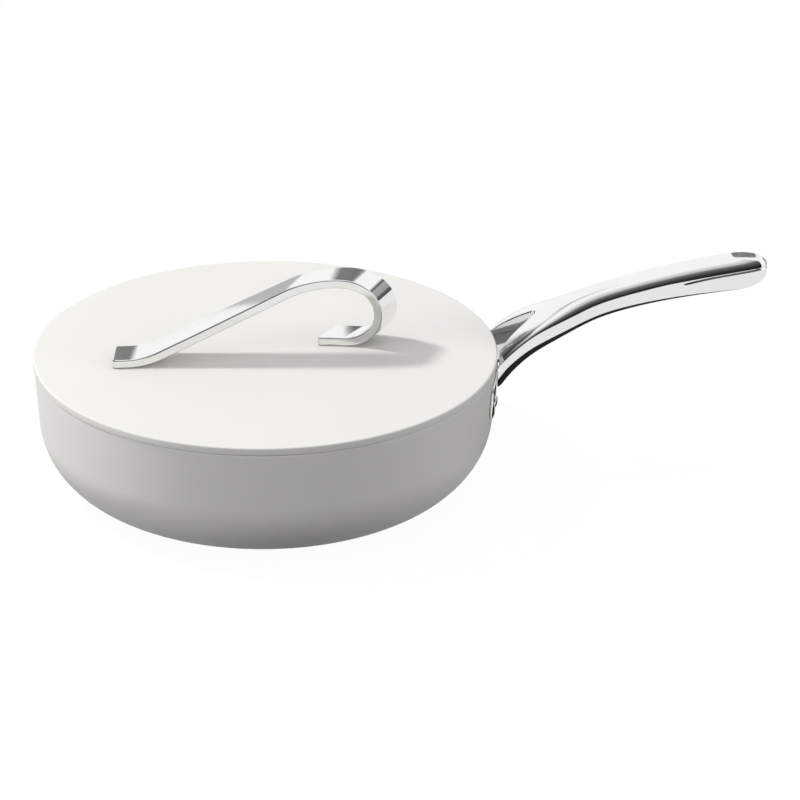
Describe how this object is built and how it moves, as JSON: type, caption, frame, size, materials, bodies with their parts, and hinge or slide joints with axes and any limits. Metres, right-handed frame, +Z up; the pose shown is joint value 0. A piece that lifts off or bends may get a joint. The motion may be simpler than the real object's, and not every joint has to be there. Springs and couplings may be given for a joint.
{
  "type": "frying pan with lid",
  "caption": "Deep round frying pan with a flared wall and a forked cast handle riveted to it, and a flat lift-off lid with a curled strap handle.",
  "frame": {"origin": "on the pan's axis, at the flat underside of the base that rests on the hob", "axes": "+X along the long handle, away from the pan; +Z up, the way the lid lifts off; +Y to the left of the long handle"},
  "size_m": [0.4464, 0.28, 0.1343],
  "materials": {
    "coated_aluminium": "aluminium under a warm white satin ceramic coat",
    "brushed_base": "circular brushed",
    "polished_steel": "mirror polished stainless steel",
    "rivet_steel": "satin polished",
    "screw_steel": "plain turned",
    "seal": "matt silicone"
  },
  "bodies": {
    "pan": {"pan_body": "coated_aluminium", "induction_plate": "brushed_base", "long_handle": "polished_steel", "handle_rivet_middle": "rivet_steel", "handle_rivet_left": "rivet_steel", "handle_rivet_right": "rivet_steel"},
    "lid": {"lid_plate": "coated_aluminium", "lid_handle": "polished_steel", "lid_screw_heel": "screw_steel", "lid_screw_toe": "screw_steel", "lid_washer_heel": "seal", "lid_washer_toe": "seal"}
  },
  "joints": [
    {"name": "lid_lift", "type": "slide", "parent": "pan", "child": "lid", "axis": [0, 0, 1], "range_m": [0, 0.15]}
  ]
}
